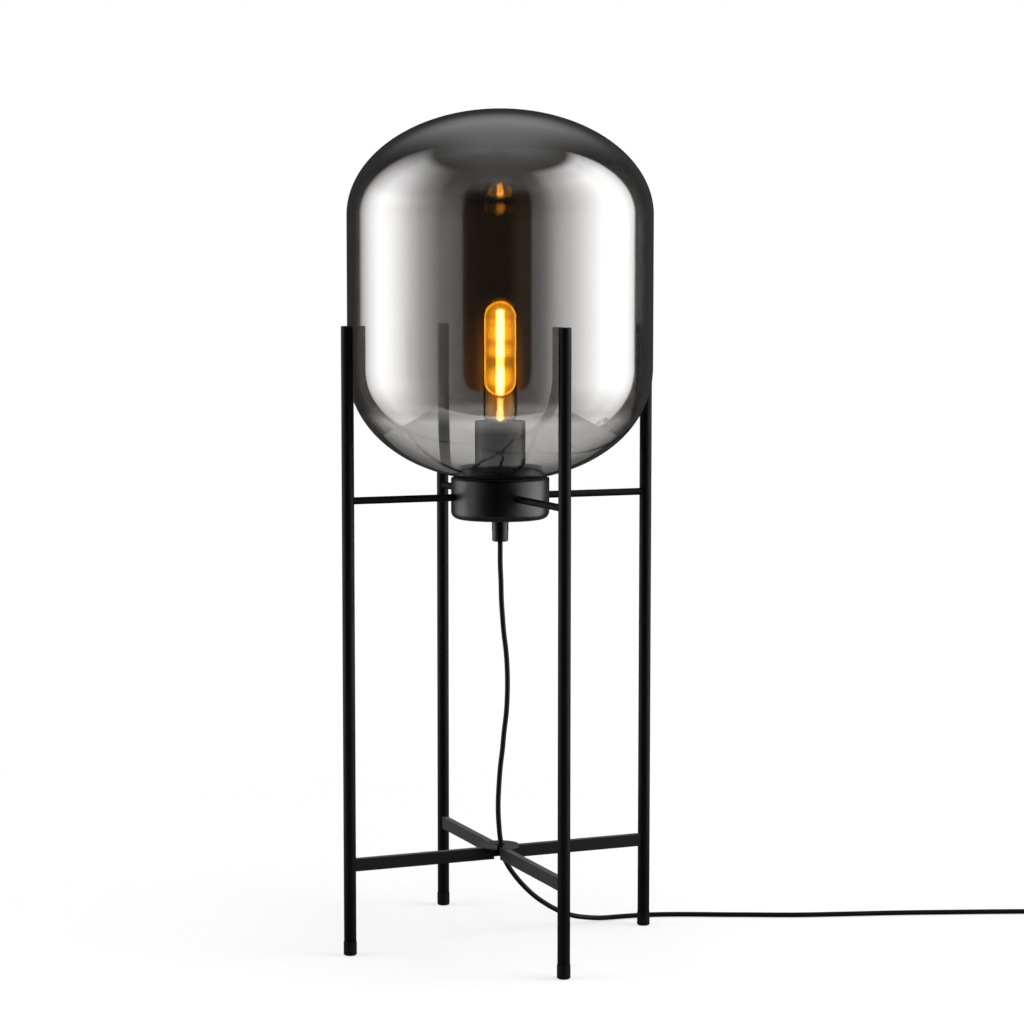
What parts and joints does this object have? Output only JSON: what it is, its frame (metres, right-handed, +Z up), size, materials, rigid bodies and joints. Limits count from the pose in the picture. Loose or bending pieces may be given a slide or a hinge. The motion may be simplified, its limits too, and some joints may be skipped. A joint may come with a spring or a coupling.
{
  "type": "globe floor lamp",
  "caption": "Globe floor lamp: barrel-shaped smoked glass shade with a tubular amber bulb in a black collar, held by thin arms between tube legs with a flat-bar cross; cord with switch and plug",
  "frame": {"origin": "on the floor, on the lamp's vertical axis, in the middle between the four legs", "axes": "+Z up; +X through the right-hand leg, +Y through the back leg, so that the legs stand on the X and Y axes"},
  "size_m": [0.886, 0.3004, 0.75],
  "materials": {
    "powder_coat": "satin",
    "collar_coat": "matte",
    "black_plastic": "matte",
    "grip_plastic": "gloss",
    "phenolic": "gloss",
    "zinc": "satin",
    "brass": "satin",
    "gasket": "matte",
    "pvc": "satin",
    "core_brown": "satin",
    "core_blue": "satin",
    "smoked_glass": "gloss",
    "amber_glass": "gloss",
    "clear_glass": "gloss",
    "bulb_cap_metal": "gloss",
    "solder": "satin",
    "filament": "matte",
    "wire": "satin",
    "pin_metal": "gloss"
  },
  "bodies": {
    "frame": {"leg_right": "powder_coat", "leg_back": "powder_coat", "leg_left": "powder_coat", "leg_front": "powder_coat", "foot_right": "black_plastic", "foot_back": "black_plastic", "foot_left": "black_plastic", "foot_front": "black_plastic", "leg_caps": "black_plastic", "arm_right": "powder_coat", "arm_back": "powder_coat", "arm_left": "powder_coat", "arm_front": "powder_coat", "arm_washers": "zinc", "arm_nuts": "zinc", "brace_right": "powder_coat", "brace_back": "powder_coat", "brace_left": "powder_coat", "brace_front": "powder_coat", "cord_disc": "powder_coat", "collar_cup": "collar_coat", "seat_plate": "collar_coat", "glass_gasket": "gasket", "nipple": "zinc", "nipple_nut": "zinc", "cord_grip_body": "grip_plastic", "cord_grip_nut": "grip_plastic", "lead_in": "pvc", "socket_cover": "collar_coat", "holder_base": "phenolic", "holder_body": "phenolic", "screw_shell": "brass", "centre_contact": "brass", "holder_terminals": "brass", "core_live": "core_brown", "core_neutral": "core_blue", "cord": "pvc", "switch_base": "grip_plastic", "switch_cover": "grip_plastic", "switch_terminals": "brass", "switch_screws": "zinc", "switch_boots": "pvc", "cord_link": "pvc", "cord_coil": "pvc", "cord_tail": "pvc", "plug_body": "grip_plastic", "plug_pins": "pin_metal"},
    "shade": {"glass_base": "smoked_glass", "glass_wall": "smoked_glass", "glass_dome": "smoked_glass"},
    "bulb": {"bulb_glass": "amber_glass", "bulb_cap": "bulb_cap_metal", "bulb_insulator": "phenolic", "bulb_contact": "solder", "bulb_stem": "clear_glass", "bulb_filaments": "filament", "filament_wires": "wire"},
    "rocker": {"switch_rocker": "grip_plastic"}
  },
  "joints": [
    {"name": "shade_lift", "type": "slide", "parent": "frame", "child": "shade", "axis": [0, 0, 1], "range_m": [0, 0.205]},
    {"name": "bulb_lift", "type": "slide", "parent": "frame", "child": "bulb", "axis": [0, 0, 1], "range_m": [0, 0.04]},
    {"name": "rocker_tilt", "type": "hinge", "parent": "frame", "child": "rocker", "pos_m": [0.596, -0.11, 0.0105], "axis": [0, -1, 0], "range_deg": [0, 16]}
  ]
}
